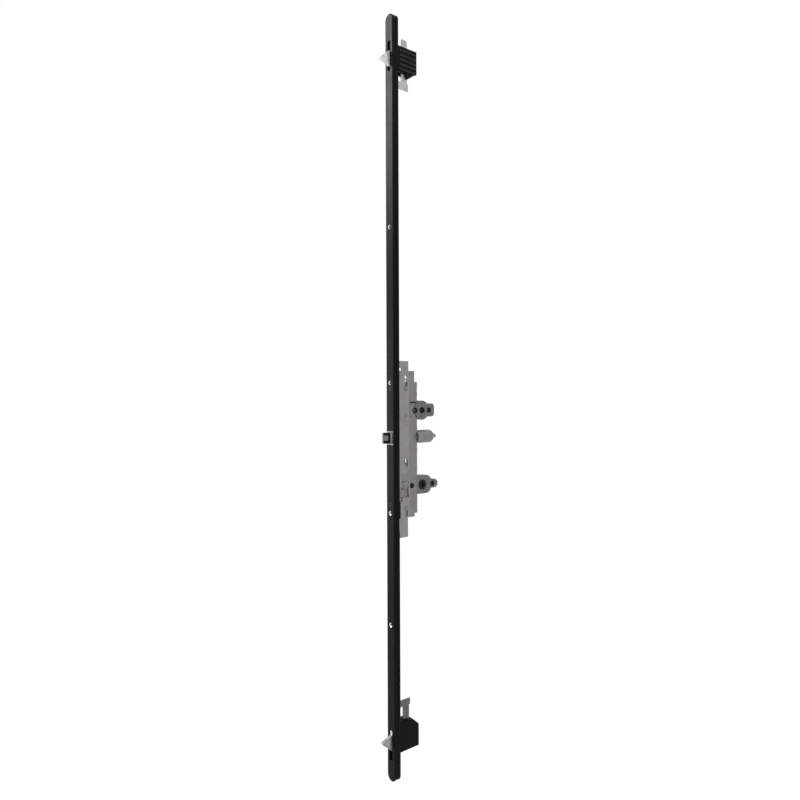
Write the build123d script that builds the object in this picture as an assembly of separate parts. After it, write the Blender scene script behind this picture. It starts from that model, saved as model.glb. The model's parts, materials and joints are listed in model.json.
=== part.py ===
from build123d import *
from math import acos, asin, cos, degrees, pi, radians, sin, sqrt, tan
import os

# Multipoint door lock, in millimetres.
# Origin: the middle of the faceplate's front, level with the handle spindle.
# +X across the door edge, +Y into the door, +Z up.

# Places that a door is bored to
BACKSET = 69.85
DEADBOLT_Z = 139.7
LATCH_Z = 90.0
TOP_TONGUE_Z = 778.0
BOTTOM_TONGUE_Z = -461.0

# Faceplate channel
CHANNEL_TOP = 864.0
CHANNEL_BOTTOM = -536.0
CHANNEL_WIDTH = 22.0
CHANNEL_DEPTH = 13.5
CHANNEL_WALL = 1.6
FRONT_WALL = 2.0
FRONT_ROUND = 1.4
RIM_BAND = 4.0
RIM_RECESS = 0.4

# Clearances
RUN_GAP = 0.3
BEARING_PLAY = 0.05
HOLE_PLAY = 0.1
END_PLAY = 1.5
JOIN = 1.0

# Gear teeth, shared by the hub pinion, the reversing pinion and their racks
MODULE = 1.25
TEETH = 12
ADDENDUM = 0.9 * MODULE
DEDENDUM = 1.25 * MODULE
PRESSURE_ANGLE = 25.0
BACKLASH = 0.2
DEADBOLT_TURN = 90.0

# Case
HUB_SETBACK = 11.85
CASE_TOP = 213.0
CASE_BOTTOM = -58.0
CASE_PLATE = 1.5
CASE_SETBACK = 0.8
POST_R = 2.5
POST_PIN_R = 1.5
POST_PROUD = 0.4
POST_INSET = 4.0
POST_HEIGHTS = (188.0, 170.0, 108.0, 66.0, 33.0, -27.0, -47.0)
RIVET_HEAD = 0.8
RIVET_ROUND = 0.56
ARM_RIVET_HEAD_R = 2.4
GUIDE_HEAD_STEP = 1.4
EAR_R = 4.6

# Slides at the side of the case
SLIDE_PLATE = 1.8
SLIDE_FRONT = 14.8
SLIDE_WIDTH = 22.2
HOOK_DEPTH = 7.5
HOOK_NECK = 5.0
UPPER_HOOK_Z = 218.0
UPPER_HOOK_HEIGHT = 13.0
LOWER_HOOK_Z = -82.0
LOWER_HOOK_HEIGHT = 11.0
LOWER_SHOULDER_Z = -57.0
REVERSE_Y = 27.0
REVERSE_Z = 2.0
RACK_SPARE = 4.0
AXLE_R = 2.5
GUIDE_R = 3.0
GUIDE_Y = 30.4
UPPER_GUIDE_Z = 180.5
LOWER_GUIDE_Z = -40.0
SIGHT_HOLE_R = 3.2
SIGHT_HOLE_Z = 201.5
FAR_WINDOW_FRONT = 24.0
FAR_WINDOW_BACK = 46.0
FAR_WINDOW_CORNER = 2.0

# Connecting rods
ROD_WIDTH = 12.0
ROD_THICKNESS = 5.5
ROD_STANDOFF = 2.5
ROD_PIN_R = 1.5
ROD_GUIDE_LENGTH = 14.0
UPPER_ROD_GUIDES = (300.0, 420.0, 560.0, 690.0)
LOWER_ROD_GUIDES = (-150.0, -330.0)

# Screws in the faceplate
DOOR_SCREW_R = 2.4
DOOR_SCREW_HEAD_R = 4.0
DOOR_SCREW_HEIGHTS = (475.0, 190.5, -47.0, -251.0)
CASE_SCREW_R = 2.0
CASE_SCREW_HEAD_R = 4.0
CASE_SCREW_LENGTH = 11.0
CASE_SCREW_SOCKET_R = 1.2
CASE_SCREW_HEIGHTS = (179.0, -32.0)
CASE_EAR_BOTTOM = 166.0
CASE_EAR_TOP = 202.0
LOWER_EAR_BOTTOM = -56.0
LOWER_EAR_TOP = -20.0
BLOCK_DEPTH = 12.0

# Deadbolt hub and its arm
ARM_STEP = 1.0
ARM_CHAMFER = 0.6
ARM_RIVET_INSET = 3.4
NECK_WALL = 2.2
DEADBOLT_DISC_R = 18.0
DEADBOLT_BOLT_OFFSET = 16.3
DEADBOLT_TAIL = 30.0
DEADBOLT_TAIL_HALF = 12.4
TAILPIECE_R = 3.0
TAILPIECE_SPAN = 9.0
TAILPIECE_SLOT = 2.6
BOLT_HOLE_R = 3.0
NECK_LENGTH = 17.0
NECK_HALF = 14.0
RELIEF_GAP = 1.4
NOTCH_GAP = 2.1
FRONT_BOSS_R = 5.4
RIM_START = 2.0
CLOSING_ANGLE = 35.0
RACK_BAR = 3.6
YOKE_THICKNESS = 3.0
YOKE_ARM = 9.5
STUD_R = 4.0
STUD_PIN_R = 2.0
YOKE_RIVET_HEAD_R = 3.2

# Handle hub and its arm
HANDLE_TURN = 45.0
HANDLE_BOLT_OFFSET = 24.5
HANDLE_BODY_HALF = 17.0
HANDLE_BODY_END = 21.6
HANDLE_BODY_CORNER = 11.0
HANDLE_LUG_END = 38.2
HANDLE_LUG_HALF = 8.25
HANDLE_NECK_REACH = 2.0
HANDLE_NECK_INSET = 3.0
HANDLE_RIVET_SETBACK = 6.8
HANDLE_RIVET_HALF = 11.5
HANDLE_CLOSING_OFFSET = 12.9
HANDLE_CORE_R = 8.6
HANDLE_FLANGE_R = 10.4
BUSH_WALL = 1.4
SPINDLE_SQUARE = 8.0
CAM_R = 12.2
CAM_TIP_R = 2.5
CAM_ROOT_R = 5.5
CAM_ANGLE = 113.0
HUB_PROUD = 0.6

# Latch
LATCH_WIDTH = 14.0
LATCH_HEIGHT = 20.0
LATCH_TRAVEL = 12.7
LATCH_HEAD_REST = 1.3
LATCH_TIP_FLAT = 3.1
LATCH_BEVEL_END = -0.6
LATCH_CHAMFER = 1.2
LATCH_SHANK_HEIGHT = 16.0
LATCH_GUIDE_WALL = 1.2
LATCH_GUIDE_LIP = 0.7
LATCH_LIP_WIDTH = 0.9
LATCH_LIP_CORNER = 1.2
LATCH_GUIDE_DEPTH = 10.0
LEVER_Z = 36.0
LEVER_THICKNESS = 3.0
LEVER_HUB_R = 6.0
LEVER_ARM = 4.4
LEVER_TIP_R = 3.0
LEVER_TIP_PLAY = 0.7
LEVER_FOOT_R = 2.5
STEM_R = 4.0
STEM_END = 107.6
STEM_ROUND = 1.5
FLANGE_STEP = 2.6
FLANGE_START = 1.0
FLANGE_THICKNESS = 2.5
TUBE_R = 12.2
TUBE_WALL = 1.5
TUBE_END = 100.4
TUBE_NOSE_R = 10.0
COLLAR_FRONT = 43.0
SPRING_WIRE_R = 0.7
SPRING_COILS = 7
SPRING_PLAY = 0.8
SPRING_SEAT = 1.0

# Tongues, measured from the pivot
TONGUE_PIVOT_Y = 14.0
TONGUE_SWING = 75.0
TONGUE_REACH = 22.8
TONGUE_THICKNESS = 6.0
TONGUE_LOW = -9.0
TONGUE_HIGH = 19.0
TONGUE_HUB_R = 6.0
TONGUE_ROOT = 2.0
TONGUE_SHOULDER = 0.85
TONGUE_NOSE_ROUND = 1.2
TONGUE_PIN_R = 2.0
FORK_PLAY = 0.75
FORK_WALL = 2.2
FORK_LIP = 1.2
TONGUE_SLOT_WIDTH = 7.4
TONGUE_SLOT_LOW = -18.0
TONGUE_SLOT_HIGH = 37.0

# Tongue housings and the strips through them
HOUSING_HALF = 10.0
HOUSING_BACK = 58.0
NOSE_LOW = -20.0
NOSE_HIGH = 42.0
HOUSING_SPLIT_WALL = 3.4
HOUSING_CHAMFER = 0.8
TOP_HOUSING_TOP = 30.0
TOP_HOUSING_LOW = -18.0
TOP_HOUSING_LEG = ((32.5, -16.0), (35.0, -24.5), (38.0, -24.5))
TOP_HOUSING_CORNER = -11.0
BOTTOM_HOUSING_TOP = 24.0
BOTTOM_HOUSING_LOW = -34.0
BOTTOM_HOUSING_SLOPE = (45.0, -28.0)
BOTTOM_HOUSING_CORNER = -16.0
SWEEP_SPARE = 3.0
STRIP_PLATE = 2.0
STRIP_LUG_FRONT = 17.6
STRIP_FRONT = 24.0
STRIP_BACK = 40.5
STRIP_STEP = 2.5
STRIP_GROOVE_R = 1.2
STRIP_GROOVE_DEPTH = 0.9
STRIP_PIN_WALL = 3.0
TOP_STRIP_HOOK = (-47.0, -33.0)
BOTTOM_STRIP_HOOK = (-68.0, -56.0)
TOP_STRIP_END = 46.0
BOTTOM_STRIP_END = 12.0
HOUSING_SCREW_R = 1.5
HOUSING_SCREW_HEAD_R = 3.0
HOUSING_SCREW_INSET = 6.0
RIB_COUNT = 5
RIB_PITCH = 8.5
RIB_HEIGHT = 3.6
RIB_PROUD = 1.2
RIB_LOWEST = 1.5
RIB_INSET = (3.0, 2.0)

# Worked-out places across the lock
CHANNEL_IN = CHANNEL_WIDTH / 2 - CHANNEL_WALL
SLIDE_OUT = CHANNEL_IN - RUN_GAP
SLIDE_IN = SLIDE_OUT - SLIDE_PLATE
CASE_OUT = SLIDE_IN - RUN_GAP
CASE_IN = CASE_OUT - CASE_PLATE
ARM_OUT = CASE_OUT + ARM_STEP
ARM_IN = CASE_IN - NECK_WALL
HUB_HALF = ARM_IN - RUN_GAP
HEAD_IN = SLIDE_OUT + RUN_GAP

# Worked-out gear sizes
PITCH_R = MODULE * TEETH / 2
TIP_R = PITCH_R + ADDENDUM
ROOT_R = PITCH_R - DEDENDUM
TOOTH_PITCH = pi * MODULE
TRAVEL = PITCH_R * radians(DEADBOLT_TURN)
DEADBOLT_CORE_R = ROOT_R

# Worked-out depths and heights
CASE_FRONT = CHANNEL_DEPTH + CASE_SETBACK
CASE_BACK = BACKSET - HUB_SETBACK
NECK_FRONT = CASE_BACK - NECK_LENGTH
SLIDE_BACK = SLIDE_FRONT + SLIDE_WIDTH
HOOK_FRONT = CHANNEL_DEPTH - HOOK_DEPTH
ROD_FRONT = FRONT_WALL + ROD_STANDOFF
ROD_BACK = ROD_FRONT + ROD_THICKNESS
ROD_PIN_Y = (HOOK_FRONT + ROD_BACK) / 2
SLIDE_EDGE = REVERSE_Z + TIP_R + TRAVEL + END_PLAY
UPPER_HOOK_TOP = UPPER_HOOK_Z + UPPER_HOOK_HEIGHT
LOWER_HOOK_BOTTOM = LOWER_HOOK_Z - LOWER_HOOK_HEIGHT
UPPER_ROD_TOP = TOP_TONGUE_Z + TOP_STRIP_HOOK[1]
LOWER_ROD_BOTTOM = BOTTOM_TONGUE_Z - BOTTOM_STRIP_HOOK[1]
YOKE_TOP = DEADBOLT_Z - BOLT_HOLE_R - 2 * RUN_GAP
YOKE_Z = YOKE_TOP - YOKE_ARM / 2

# Worked-out latch lever
LEVER_Y = GUIDE_Y
LEVER_REACH = LATCH_Z - LEVER_Z
LEVER_TURN = 2 * degrees(asin(LATCH_TRAVEL / 2 / LEVER_REACH))
LEVER_TIP_Y = LEVER_Y - LATCH_TRAVEL / 2
CAM_Y = BACKSET + CAM_R * cos(radians(CAM_ANGLE))
CAM_Z = CAM_R * sin(radians(CAM_ANGLE))
FOOT_Y = CAM_Y - CAM_TIP_R - LEVER_FOOT_R - 2 * RUN_GAP
FOOT_Z = CAM_Z - 2 * LEVER_FOOT_R / 3
SHANK_HALF = CASE_IN - RUN_GAP
SHANK_BACK = COLLAR_FRONT - LATCH_TRAVEL - JOIN
FLANGE_BACK = CASE_BACK + FLANGE_START + FLANGE_THICKNESS

# Worked-out tongue linkage
FORK_Y = TRAVEL / 2 / tan(radians(TONGUE_SWING / 2))
FORK_R = sqrt(FORK_Y ** 2 + (TRAVEL / 2) ** 2)
FORK_TIP_R = FORK_R + TONGUE_PIN_R + FORK_LIP
SWEEP_R = sqrt(TONGUE_PIVOT_Y ** 2 + TONGUE_HIGH ** 2) + RUN_GAP
STRIP_IN = TONGUE_THICKNESS / 2 + RUN_GAP
STRIP_OUT = STRIP_IN + STRIP_PLATE


def across(profile, x_low, x_high):
    """Solid of a profile drawn in Y and Z, between two places across the lock."""
    return extrude(Plane.YZ.offset(x_low) * profile, amount=x_high - x_low)


def inward(profile, y_low, y_high):
    """Solid of a profile drawn in X and Z, between two depths behind the front."""
    return extrude(Plane.XZ.offset(-y_low) * profile, amount=y_low - y_high)


def area(low_1, high_1, low_2, high_2):
    """Rectangle between two limits each way."""
    centre = Pos((low_1 + high_1) / 2, (low_2 + high_2) / 2)
    return centre * Rectangle(high_1 - low_1, high_2 - low_2)


def disc(y, z, radius):
    """Circle at a place."""
    return Pos(y, z) * Circle(radius)


def slot(y, z_low, z_high, radius):
    """Upright slot with round ends, whose end centres are at two heights."""
    length = z_high - z_low + 2 * radius
    return Pos(y, (z_low + z_high) / 2) * Rot(0, 0, 90) * SlotOverall(length, 2 * radius)


def outline(*points):
    """Face with straight sides through the points."""
    return make_face(Polyline(*points, close=True))


def pinion(y, z, x_low, x_high):
    """Toothed wheel with involute flanks and a tooth on each side, level with its axis."""
    base_r = PITCH_R * cos(radians(PRESSURE_ANGLE))
    start_r = max(base_r, ROOT_R)
    pitch_roll = tan(radians(PRESSURE_ANGLE)) - radians(PRESSURE_ANGLE)
    pitch_half = pi / (2 * TEETH) - BACKLASH / (2 * PITCH_R)
    flank = [(ROOT_R, pitch_half + pitch_roll)]
    for step in range(4):
        radius = start_r + (TIP_R - start_r) * step / 3
        pressure = acos(base_r / radius)
        flank.append((radius, pitch_half + pitch_roll - tan(pressure) + pressure))
    points = []
    for tooth in range(TEETH):
        middle = 2 * pi * tooth / TEETH
        points += [(r * cos(middle - half), r * sin(middle - half)) for r, half in flank]
        points += [(r * cos(middle + half), r * sin(middle + half)) for r, half in reversed(flank)]
    return across(Pos(y, z) * outline(*points), x_low, x_high)


def rack_teeth(pitch_y, z_contact, z_low, z_high, toward):
    """Rack teeth whose gap at z_contact faces a pinion's tooth, on the side given by toward."""
    slope = tan(radians(PRESSURE_ANGLE))
    half = TOOTH_PITCH / 4 - BACKLASH / 2
    tip = ADDENDUM
    root = DEDENDUM
    first = int((z_low - z_contact) / TOOTH_PITCH - 1)
    last = int((z_high - z_contact) / TOOTH_PITCH + 1)
    teeth = []
    for tooth in range(first, last + 1):
        middle = z_contact + (tooth + 0.5) * TOOTH_PITCH
        if middle - half - root * slope < z_low or middle + half + root * slope > z_high:
            continue
        teeth.append(outline(
            (pitch_y - toward * (root + JOIN), middle - half - root * slope),
            (pitch_y - toward * root, middle - half - root * slope),
            (pitch_y + toward * tip, middle - half + tip * slope),
            (pitch_y + toward * tip, middle + half - tip * slope),
            (pitch_y - toward * root, middle + half + root * slope),
            (pitch_y - toward * (root + JOIN), middle + half + root * slope),
        ))
    return teeth


def rivet(y, z, radius, x_low, x_high, head_x, head_r):
    """Rivet across the lock with one low domed head outside head_x."""
    shank = across(disc(y, z, radius), x_low, x_high)
    edge = head_x + RIVET_HEAD if head_x > 0 else head_x - RIVET_HEAD
    head = across(disc(y, z, head_r), min(head_x, edge), max(head_x, edge))
    rim = head.edges().filter_by(GeomType.CIRCLE).sort_by(Axis.X)[-1 if head_x > 0 else 0]
    return shank + fillet(rim, RIVET_ROUND)


def faceplate_channel():
    """Powder-coated channel with round ends that covers the whole mechanism."""
    length = CHANNEL_TOP - CHANNEL_BOTTOM
    middle = (CHANNEL_TOP + CHANNEL_BOTTOM) / 2

    def face(inset):
        size = SlotOverall(length - 2 * inset, CHANNEL_WIDTH - 2 * inset)
        return Pos(0, middle) * Rot(0, 0, 90) * size

    shell = inward(face(0), 0, CHANNEL_DEPTH) - inward(face(CHANNEL_WALL), FRONT_WALL, CHANNEL_DEPTH)
    shell = fillet(shell.faces().sort_by(Axis.Y)[0].outer_wire().edges(), FRONT_ROUND)
    band = face(0) - face(RIM_RECESS)
    shell -= inward(band, RIM_BAND, CHANNEL_DEPTH - RIM_BAND)
    for pivot, way in ((TOP_TONGUE_Z, 1), (BOTTOM_TONGUE_Z, -1)):
        ends = sorted((pivot + way * TONGUE_SLOT_LOW, pivot + way * TONGUE_SLOT_HIGH))
        radius = TONGUE_SLOT_WIDTH / 2
        shell -= inward(slot(0, ends[0] + radius, ends[1] - radius, radius), 0, FRONT_WALL)
    half_wide = LATCH_WIDTH / 2 + RUN_GAP + LATCH_GUIDE_WALL
    half_high = LATCH_HEIGHT / 2 + RUN_GAP + LATCH_GUIDE_WALL
    shell -= inward(area(-half_wide, half_wide, LATCH_Z - half_high, LATCH_Z + half_high), 0, FRONT_WALL)
    shell -= inward(latch_lip(), 0, LATCH_GUIDE_LIP)
    for height in DOOR_SCREW_HEIGHTS:
        shell -= countersink(height, DOOR_SCREW_R, DOOR_SCREW_HEAD_R)
    for height in CASE_SCREW_HEIGHTS:
        shell -= countersink(height, CASE_SCREW_R + HOLE_PLAY, CASE_SCREW_HEAD_R)
    return shell


def countersink(height, radius, head_r):
    """Cutter for a countersunk screw hole through the faceplate's front."""
    depth = head_r - radius
    cone = Pos(0, depth / 2, height) * Rot(90, 0, 0) * Cone(radius, head_r, depth)
    return cone + inward(disc(0, height, radius), 0, FRONT_WALL)


def case_outline():
    """Side outline that both plates of the case share."""
    plate = area(CASE_FRONT, CASE_BACK, CASE_BOTTOM, CASE_TOP)
    step = CASE_BACK - POST_INSET - EAR_R / 2
    plate -= area(step, CASE_BACK, POST_HEIGHTS[0] + EAR_R, CASE_TOP)
    plate -= area(step, CASE_BACK, CASE_BOTTOM, POST_HEIGHTS[-1] - EAR_R)
    for height in POST_HEIGHTS:
        plate += disc(CASE_BACK - POST_INSET, height, EAR_R)
    notch_top = DEADBOLT_Z + NECK_HALF + NOTCH_GAP
    plate -= area(NECK_FRONT, CASE_BACK + EAR_R, DEADBOLT_Z + NECK_HALF - RELIEF_GAP, notch_top)
    plate -= disc(BACKSET, DEADBOLT_Z, DEADBOLT_DISC_R + RELIEF_GAP)
    plate -= disc(BACKSET - DEADBOLT_BOLT_OFFSET, DEADBOLT_Z, FRONT_BOSS_R + RELIEF_GAP)
    inner = CHANNEL_DEPTH - FRONT_WALL
    for low, high in ((CASE_EAR_BOTTOM, CASE_EAR_TOP), (LOWER_EAR_BOTTOM, LOWER_EAR_TOP)):
        plate += area(FRONT_WALL, FRONT_WALL + inner + CASE_SETBACK + JOIN, low, high)
    plate -= disc(BACKSET - HANDLE_BOLT_OFFSET, 0, BOLT_HOLE_R + HOLE_PLAY)
    return plate


def far_windows():
    """Openings of the left plate behind the sight hole and behind the lever pin's slot."""
    windows = []
    sight = (SIGHT_HOLE_Z - TRAVEL / 2 - SIGHT_HOLE_R, SIGHT_HOLE_Z + SIGHT_HOLE_R)
    lever = (LEVER_Z + 2 * GUIDE_R - JOIN, LEVER_Z + TRAVEL + GUIDE_R)
    for low, high in (sight, lever):
        window = area(FAR_WINDOW_FRONT, FAR_WINDOW_BACK, low, high)
        windows.append(fillet(window.vertices(), FAR_WINDOW_CORNER))
    return windows


def case_plate(side):
    """One steel side plate of the case; the right one carries the slides."""
    plate = case_outline()
    for height in POST_HEIGHTS:
        plate -= disc(CASE_BACK - POST_INSET, height, POST_PIN_R + HOLE_PLAY / 2)
    plate -= disc(LEVER_Y, LEVER_Z, GUIDE_R)
    for spot in arm_rivet_spots():
        plate -= disc(*spot, ROD_PIN_R)
    if side > 0:
        radius = STUD_R + RUN_GAP
        plate -= slot(GUIDE_Y, YOKE_Z - TRAVEL, YOKE_Z, radius)
        plate -= slot(GUIDE_Y, SIGHT_HOLE_Z - TRAVEL / 2, SIGHT_HOLE_Z, SIGHT_HOLE_R)
        plate -= slot(GUIDE_Y, LEVER_Z + 3 * GUIDE_R - JOIN, LEVER_Z + TRAVEL, GUIDE_R)
        plate -= disc(REVERSE_Y, REVERSE_Z, AXLE_R)
        plate -= disc(GUIDE_Y, UPPER_GUIDE_Z, GUIDE_R)
        plate -= disc(GUIDE_Y, LOWER_GUIDE_Z, GUIDE_R)
        return across(plate, CASE_IN, CASE_OUT)
    for window in far_windows():
        plate -= window
    return across(plate, -CASE_OUT, -CASE_IN)


def case_posts():
    """Shouldered posts that hold the two case plates apart, riveted over outside."""
    posts = []
    for height in POST_HEIGHTS:
        y = CASE_BACK - POST_INSET
        post = across(disc(y, height, POST_R), -CASE_IN, CASE_IN)
        post += across(disc(y, height, POST_PIN_R), -CASE_OUT - POST_PROUD, CASE_OUT + POST_PROUD)
        posts.append(post)
    return Compound(children=posts)


def case_block(low, high, screw_z, hole_z):
    """Steel block between the plates' ears, tapped for the screw through the faceplate."""
    block = across(area(FRONT_WALL, FRONT_WALL + BLOCK_DEPTH, low, high), -CASE_IN, CASE_IN)
    block -= inward(disc(0, screw_z, CASE_SCREW_R + BEARING_PLAY), FRONT_WALL, FRONT_WALL + BLOCK_DEPTH)
    block -= inward(disc(0, hole_z, DOOR_SCREW_R), FRONT_WALL, FRONT_WALL + BLOCK_DEPTH)
    return block


def case_screws():
    """Countersunk machine screws from the faceplate into the case blocks."""
    screws = []
    depth = CASE_SCREW_HEAD_R - CASE_SCREW_R - HOLE_PLAY
    for height in CASE_SCREW_HEIGHTS:
        head = Pos(0, depth / 2, height) * Rot(90, 0, 0)
        screw = head * Cone(CASE_SCREW_R, CASE_SCREW_R + depth, depth)
        screw += inward(disc(0, height, CASE_SCREW_R), 0, CASE_SCREW_LENGTH)
        screw -= inward(disc(0, height, CASE_SCREW_SOCKET_R), 0, depth)
        screws.append(screw)
    return Compound(children=screws)


def slide_body(edge_low, edge_high, contact):
    """Slide plate and rack leg, drawn for the upper slide."""
    root_y = REVERSE_Y - PITCH_R - DEDENDUM
    leg_low = contact - RACK_SPARE
    plate = area(SLIDE_FRONT, SLIDE_BACK, edge_low, edge_high)
    plate += area(SLIDE_FRONT, root_y, leg_low, edge_low + JOIN)
    corner_y = REVERSE_Y + PITCH_R - ADDENDUM - END_PLAY / 2
    corner_z = contact + RACK_SPARE + 2 * TRAVEL + END_PLAY
    plate -= area(corner_y, SLIDE_BACK, edge_low, corner_z)
    for tooth in rack_teeth(REVERSE_Y - PITCH_R, contact, leg_low, contact + TRAVEL + RACK_SPARE, 1):
        plate += tooth
    return plate


def upper_slide():
    """Flat slide that the deadbolt hub moves; it hooks into the upper rod."""
    neck = SLIDE_FRONT + HOOK_NECK
    plate = slide_body(SLIDE_EDGE, CASE_TOP, REVERSE_Z)
    plate += area(neck, SLIDE_BACK - JOIN, CASE_TOP - JOIN, UPPER_HOOK_Z + JOIN)
    plate += area(HOOK_FRONT, SLIDE_BACK - JOIN, UPPER_HOOK_Z, UPPER_HOOK_TOP)
    for height in (LEVER_Z, UPPER_GUIDE_Z):
        plate -= slot(GUIDE_Y, height, height + TRAVEL, GUIDE_R + RUN_GAP)
    plate -= disc(GUIDE_Y, SIGHT_HOLE_Z, SIGHT_HOLE_R)
    plate -= disc(GUIDE_Y, YOKE_Z, STUD_PIN_R)
    plate -= disc(ROD_PIN_Y, UPPER_HOOK_Z + UPPER_HOOK_HEIGHT / 2, ROD_PIN_R)
    return across(plate, SLIDE_IN, SLIDE_OUT)


def lower_slide():
    """Slide that the reversing pinion drives the opposite way; it hooks into the lower rod."""
    turned_edge = 2 * REVERSE_Z - SLIDE_EDGE
    reach = turned_edge - LOWER_SHOULDER_Z
    plate = slide_body(SLIDE_EDGE, SLIDE_EDGE + reach, REVERSE_Z)
    plate = Pos(REVERSE_Y, REVERSE_Z) * Rot(0, 0, 180) * Pos(-REVERSE_Y, -REVERSE_Z) * plate
    back = 2 * REVERSE_Y - SLIDE_FRONT
    plate += area(2 * REVERSE_Y - SLIDE_BACK, back - HOOK_NECK, LOWER_HOOK_BOTTOM, LOWER_SHOULDER_Z + JOIN)
    plate += area(HOOK_FRONT, back - HOOK_NECK, LOWER_HOOK_BOTTOM, LOWER_HOOK_Z)
    plate -= slot(GUIDE_Y, LOWER_GUIDE_Z - TRAVEL, LOWER_GUIDE_Z, GUIDE_R + RUN_GAP)
    plate -= disc(ROD_PIN_Y, LOWER_HOOK_Z - LOWER_HOOK_HEIGHT / 2, ROD_PIN_R)
    return across(plate, SLIDE_IN, SLIDE_OUT)


def slide_guides():
    """Shouldered rivets in the case plate that hold the two slides against it."""
    guides = []
    for height in (UPPER_GUIDE_Z, LOWER_GUIDE_Z):
        guides.append(rivet(GUIDE_Y, height, GUIDE_R, CASE_IN, HEAD_IN, HEAD_IN, GUIDE_R + GUIDE_HEAD_STEP))
    guides.append(rivet(REVERSE_Y, REVERSE_Z, AXLE_R, CASE_IN, HEAD_IN, HEAD_IN, AXLE_R + GUIDE_HEAD_STEP))
    return Compound(children=guides)


def reversing_pinion():
    """Flat pinion between the racks of the two slides, which makes them part and meet."""
    wheel = pinion(REVERSE_Y, REVERSE_Z, SLIDE_IN, SLIDE_OUT)
    return wheel - across(disc(REVERSE_Y, REVERSE_Z, AXLE_R + BEARING_PLAY), SLIDE_IN, SLIDE_OUT)


def connecting_rod(hook_low, hook_high, strip_low, strip_high):
    """Flat rod in the channel, with a side lug for the slide and a slit for the tongue strip."""
    half = ROD_WIDTH / 2
    low = min(hook_low, strip_low)
    high = max(hook_high, strip_high)
    rod = inward(area(-half, half, low, high), ROD_FRONT, ROD_BACK)
    rod += inward(area(half - JOIN, SLIDE_IN, hook_low, hook_high), ROD_FRONT, ROD_BACK)
    rod -= inward(area(STRIP_IN, STRIP_OUT, strip_low, strip_high), ROD_FRONT, ROD_BACK)
    for height in DOOR_SCREW_HEIGHTS:
        if low < height < high:
            rod -= inward(slot(0, height - TRAVEL, height + TRAVEL, DOOR_SCREW_R + 2 * RUN_GAP), 0, ROD_BACK)
    for height in ((hook_low + hook_high) / 2, (strip_low + strip_high) / 2):
        rod -= across(disc(ROD_PIN_Y, height, ROD_PIN_R), 0, SLIDE_IN)
    return rod


def rod_pins(hook_middle, strip_middle):
    """Pins that join a rod to its slide and to its tongue strip."""
    first = across(disc(ROD_PIN_Y, hook_middle, ROD_PIN_R), 0, SLIDE_OUT)
    second = across(disc(ROD_PIN_Y, strip_middle, ROD_PIN_R), 0, STRIP_OUT)
    return Compound(children=[first, second])


def rod_guides():
    """Plastic clips pressed into the channel, which the rods run through."""
    clips = []
    half = ROD_WIDTH / 2 + RUN_GAP
    for middle in UPPER_ROD_GUIDES + LOWER_ROD_GUIDES:
        low = middle - ROD_GUIDE_LENGTH / 2
        high = middle + ROD_GUIDE_LENGTH / 2
        clip = inward(area(-CHANNEL_IN, CHANNEL_IN, low, high), FRONT_WALL, CHANNEL_DEPTH - RUN_GAP)
        clip -= inward(area(-half, half, low, high), ROD_FRONT - RUN_GAP, ROD_BACK + RUN_GAP)
        clips.append(clip)
    return Compound(children=clips)


def arm_rivet_spots():
    """Places of the rivets that hold the necks of both arms between the case plates."""
    reach = NECK_HALF - ARM_RIVET_INSET
    spots = []
    for way in (1, -1):
        spots.append((NECK_FRONT + ARM_RIVET_INSET, DEADBOLT_Z + way * reach))
    for way in (1, -1):
        spots.append((CASE_BACK - HANDLE_RIVET_SETBACK, way * HANDLE_RIVET_HALF))
    return spots


def arm_rivets():
    """Short rivets through each case plate and the arm's neck inside it."""
    rivets = []
    for spot in arm_rivet_spots():
        rivets.append(rivet(*spot, ROD_PIN_R, ARM_IN, CASE_OUT, CASE_OUT, ARM_RIVET_HEAD_R))
        rivets.append(rivet(*spot, ROD_PIN_R, -CASE_OUT, -ARM_IN, -CASE_OUT, ARM_RIVET_HEAD_R))
    return Compound(children=rivets)


def arm_half(side, outer, neck, rim, bores):
    """One half of a hub arm: an outer shell, a neck inside the case and a rim on one side."""
    for bore in bores:
        outer -= bore
        neck -= bore
        rim -= bore
    half = across(outer, ARM_IN, ARM_OUT) + across(neck, ARM_IN, CASE_IN) + across(rim, 0, ARM_IN)
    edge = half.faces().sort_by(Axis.X)[-1].outer_wire().edges()
    half = chamfer(edge, ARM_CHAMFER)
    return half if side > 0 else mirror(half, Plane.YZ)


def deadbolt_arm(side):
    """Half of the arm that carries the deadbolt hub, open to the yoke at its front."""
    outer = disc(BACKSET, DEADBOLT_Z, DEADBOLT_DISC_R)
    corner = DEADBOLT_TAIL_HALF / 2
    tail = area(0, DEADBOLT_TAIL, -DEADBOLT_TAIL_HALF, DEADBOLT_TAIL_HALF)
    tail = fillet(tail.vertices().group_by(Axis.X)[-1], corner)
    outer += Pos(BACKSET, DEADBOLT_Z) * tail
    outer += disc(BACKSET - DEADBOLT_BOLT_OFFSET, DEADBOLT_Z, FRONT_BOSS_R)
    neck = area(NECK_FRONT, BACKSET, DEADBOLT_Z - NECK_HALF, DEADBOLT_Z + NECK_HALF)
    cavity = TIP_R + RUN_GAP
    rim = outer - area(0, BACKSET + RIM_START, DEADBOLT_Z - DEADBOLT_TAIL, DEADBOLT_Z + DEADBOLT_TAIL)
    rim -= disc(BACKSET, DEADBOLT_Z, cavity)
    bores = [disc(BACKSET, DEADBOLT_Z, DEADBOLT_CORE_R + BEARING_PLAY)]
    for way in (-1, 1):
        bores.append(disc(BACKSET + way * DEADBOLT_BOLT_OFFSET, DEADBOLT_Z, BOLT_HOLE_R))
    for spot in arm_screw_spots()[:2] + arm_rivet_spots()[:2]:
        bores.append(disc(*spot, ROD_PIN_R))
    return arm_half(side, outer, neck, rim, bores)


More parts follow.
